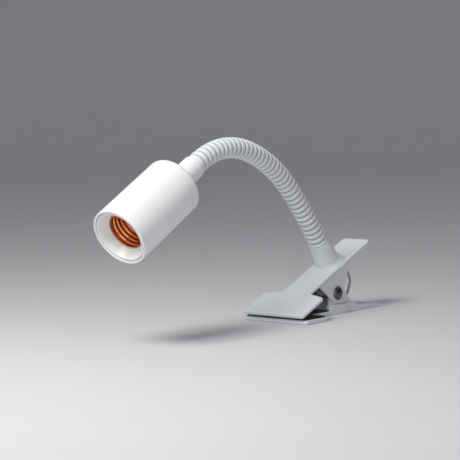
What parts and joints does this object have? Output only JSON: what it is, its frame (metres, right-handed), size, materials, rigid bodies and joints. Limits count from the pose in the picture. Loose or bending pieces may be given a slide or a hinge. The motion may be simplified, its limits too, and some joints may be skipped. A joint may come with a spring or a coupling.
{
  "type": "clip-on reading lamp",
  "caption": "Clip-on lamp: a screw lampholder in a round white cover, on a ribbed bendable neck that stands on a sprung two-jaw clip.",
  "frame": {"origin": "middle of the lower jaw's grip face, on the plane of symmetry", "axes": "+Z out of the grip face, +X across the clip along the hinge pin, -Y towards the jaw tips and the lampholder"},
  "size_m": [0.062, 0.308, 0.1446],
  "materials": {
    "white_shell": "fine satin white moulding",
    "white_sleeve": "soft white flexible sleeve",
    "white_insert": "heat resistant white moulding",
    "grip_rubber": "black fine ribbed sheet",
    "bright_steel": "polished",
    "spring_steel": "drawn wire",
    "zinc_steel": "zinc plated",
    "copper": "bare copper, rolled",
    "contact_brass": "bare brass",
    "dark_moulding": "dark phenolic moulding",
    "gland_rubber": "white soft rubber"
  },
  "bodies": {
    "clamp": {"clip_lower": "white_shell", "lower_jaw_grip": "grip_rubber", "pivot_pin": "bright_steel", "pin_cap": "bright_steel", "spring_coil": "spring_steel"},
    "clip_top": {"clip_upper": "white_shell", "upper_jaw_grip": "grip_rubber", "spring_upper_leg": "spring_steel", "neck_nipple": "zinc_steel", "neck_nut": "zinc_steel", "wedge_washer": "zinc_steel", "cord_gland": "gland_rubber", "sleeve_end_clip": "white_sleeve", "core_end_clip": "spring_steel"},
    "neck_01": {"sleeve_link_01": "white_sleeve", "core_link_01": "spring_steel"},
    "neck_02": {"sleeve_link_02": "white_sleeve", "core_link_02": "spring_steel"},
    "neck_03": {"sleeve_link_03": "white_sleeve", "core_link_03": "spring_steel"},
    "neck_04": {"sleeve_link_04": "white_sleeve", "core_link_04": "spring_steel"},
    "neck_05": {"sleeve_link_05": "white_sleeve", "core_link_05": "spring_steel"},
    "neck_06": {"sleeve_link_06": "white_sleeve", "core_link_06": "spring_steel"},
    "neck_07": {"sleeve_link_07": "white_sleeve", "core_link_07": "spring_steel"},
    "neck_08": {"sleeve_link_08": "white_sleeve", "core_link_08": "spring_steel"},
    "neck_09": {"sleeve_link_09": "white_sleeve", "core_link_09": "spring_steel"},
    "neck_10": {"sleeve_link_10": "white_sleeve", "core_link_10": "spring_steel"},
    "neck_11": {"sleeve_link_11": "white_sleeve", "core_link_11": "spring_steel"},
    "neck_12": {"sleeve_link_12": "white_sleeve", "core_link_12": "spring_steel"},
    "lampholder": {"sleeve_end_head": "white_sleeve", "core_end_head": "spring_steel", "head_collar": "white_shell", "head_nipple": "zinc_steel", "head_nut": "zinc_steel", "holder_cover": "white_shell", "holder_insert": "white_insert", "screw_shell": "copper", "contact_base": "dark_moulding", "centre_contact": "contact_brass", "terminal_blocks": "contact_brass", "terminal_screws": "zinc_steel"}
  },
  "joints": [
    {"name": "jaw_open", "type": "hinge", "parent": "clamp", "child": "clip_top", "pos_m": [0, 0.0508, 0.0125], "axis": [-1, 0, 0], "range_deg": [0, 29], "stiffness_Nm_per_rad": 1.4, "springref_deg": -40.11},
    {"name": "neck_lower_bend", "type": "hinge", "parent": "clip_top", "child": "neck_01", "pos_m": [0, 0.04169, 0.05652], "axis": [1, 0, 0], "range_deg": [-9, 7]},
    {"name": "neck_side_bend", "type": "hinge", "parent": "neck_01", "child": "neck_02", "pos_m": [0, 0.03296, 0.06804], "axis": [0, -0.7852, -0.6192], "range_deg": [-9, 9]},
    {"name": "neck_lower_bend_02", "type": "hinge", "parent": "neck_02", "child": "neck_03", "pos_m": [0, 0.02379, 0.07922], "axis": [1, 0, 0], "range_deg": [-9, 7]},
    {"name": "neck_side_bend_03", "type": "hinge", "parent": "neck_03", "child": "neck_04", "pos_m": [0, 0.01419, 0.09003], "axis": [0, -0.735, -0.6781], "range_deg": [-9, 9]},
    {"name": "neck_lower_bend_04", "type": "hinge", "parent": "neck_04", "child": "neck_05", "pos_m": [0, 0.00417, 0.10046], "axis": [1, 0, 0], "range_deg": [-9, 7]},
    {"name": "neck_side_bend_05", "type": "hinge", "parent": "neck_05", "child": "neck_06", "pos_m": [0, -0.00674, 0.10994], "axis": [0, -0.6089, -0.7933], "range_deg": [-9, 9]},
    {"name": "neck_lower_bend_06", "type": "hinge", "parent": "neck_06", "child": "neck_07", "pos_m": [0, -0.01871, 0.11803], "axis": [1, 0, 0], "range_deg": [-9, 7]},
    {"name": "neck_side_bend_07", "type": "hinge", "parent": "neck_07", "child": "neck_08", "pos_m": [0, -0.03158, 0.12461], "axis": [0, -0.4009, -0.9161], "range_deg": [-9, 9]},
    {"name": "neck_upper_bend", "type": "hinge", "parent": "neck_08", "child": "neck_09", "pos_m": [0, -0.04514, 0.12959], "axis": [1, 0, 0], "range_deg": [-12, 9]},
    {"name": "neck_side_bend_09", "type": "hinge", "parent": "neck_09", "child": "neck_10", "pos_m": [0, -0.05933, 0.13223], "axis": [0, -0.0812, -0.9967], "range_deg": [-9, 9]},
    {"name": "neck_upper_bend_10", "type": "hinge", "parent": "neck_10", "child": "neck_11", "pos_m": [0, -0.07376, 0.13192], "axis": [1, 0, 0], "range_deg": [-12, 9]},
    {"name": "neck_side_bend_11", "type": "hinge", "parent": "neck_11", "child": "neck_12", "pos_m": [0, -0.08783, 0.12868], "axis": [0, 0.3236, -0.9462], "range_deg": [-9, 9]},
    {"name": "neck_upper_bend_12", "type": "hinge", "parent": "neck_12", "child": "lampholder", "pos_m": [0, -0.10094, 0.12264], "axis": [1, 0, 0], "range_deg": [-12, 9]}
  ],
  "couplings": [
    {"joint": "neck_lower_bend_02", "follows": "neck_lower_bend", "ratio": 1},
    {"joint": "neck_side_bend_03", "follows": "neck_side_bend", "ratio": 1},
    {"joint": "neck_lower_bend_04", "follows": "neck_lower_bend", "ratio": 1},
    {"joint": "neck_side_bend_05", "follows": "neck_side_bend", "ratio": 1},
    {"joint": "neck_lower_bend_06", "follows": "neck_lower_bend", "ratio": 1},
    {"joint": "neck_side_bend_07", "follows": "neck_side_bend", "ratio": 1},
    {"joint": "neck_side_bend_09", "follows": "neck_side_bend", "ratio": 1},
    {"joint": "neck_upper_bend_10", "follows": "neck_upper_bend", "ratio": 1},
    {"joint": "neck_side_bend_11", "follows": "neck_side_bend", "ratio": 1},
    {"joint": "neck_upper_bend_12", "follows": "neck_upper_bend", "ratio": 1}
  ]
}
